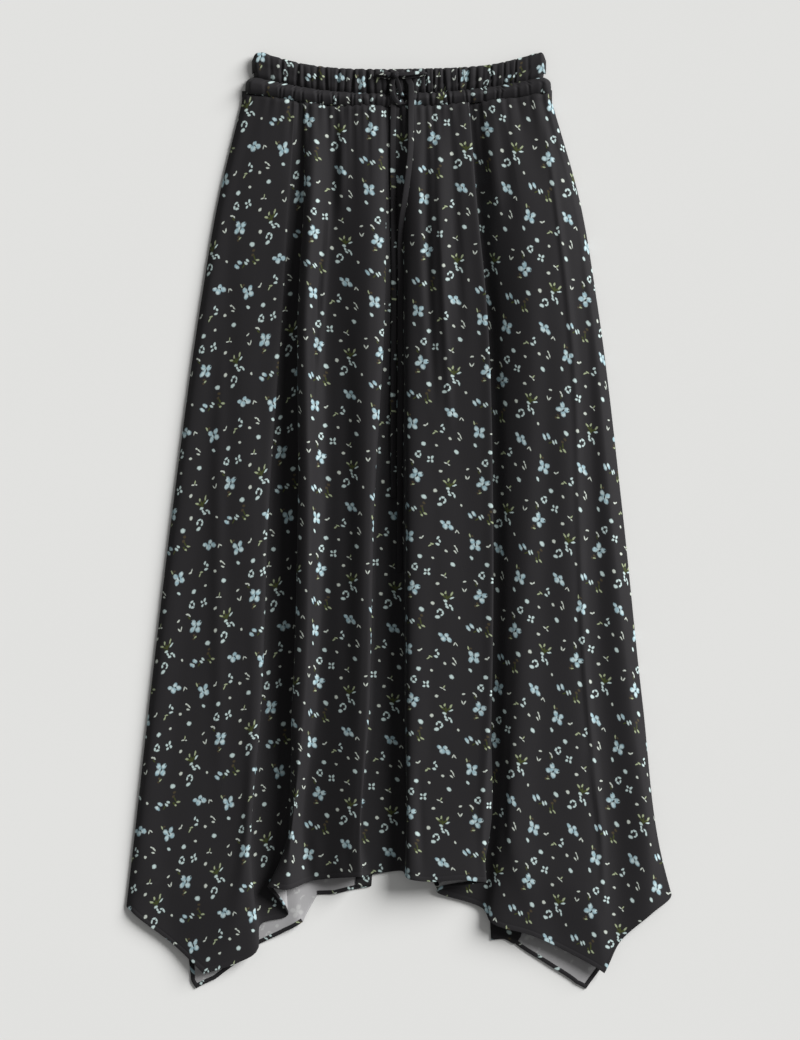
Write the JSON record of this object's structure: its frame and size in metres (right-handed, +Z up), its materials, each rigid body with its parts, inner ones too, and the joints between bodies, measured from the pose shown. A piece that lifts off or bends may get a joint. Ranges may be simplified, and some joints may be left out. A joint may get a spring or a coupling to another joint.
{
  "type": "handkerchief hem skirt",
  "caption": "Long gathered skirt with an elastic waist, a tied drawstring and a pointed handkerchief hem, laid flat face up.",
  "frame": {"origin": "under the middle of the skirt's box, on the surface that it lies on", "axes": "+X to the right as seen from above, +Y from the hem towards the waist, +Z up from the surface; the face of the skirt looks up"},
  "size_m": [0.545, 0.9355, 0.0252],
  "materials": {
    "printed_crepe": "matte viscose crepe, near-black, printed with small pale blue, mint and olive flowers, with a grey wrong side",
    "casing_crepe": "the same crepe, gathered by the elastic and the drawstring",
    "drawstring_crepe": "the same crepe, sewn into a narrow flat tube and pressed"
  },
  "bodies": {
    "root": {"front_panel": "printed_crepe", "back_panel": "printed_crepe", "front_drawstring_channel": "casing_crepe", "back_drawstring_channel": "casing_crepe", "front_elastic_casing": "casing_crepe", "back_elastic_casing": "casing_crepe", "drawstring_left_end": "drawstring_crepe", "drawstring_right_end": "drawstring_crepe", "bow_knot": "drawstring_crepe", "bow_left_loop": "drawstring_crepe", "bow_right_loop": "drawstring_crepe"}
  },
  "joints": []
}
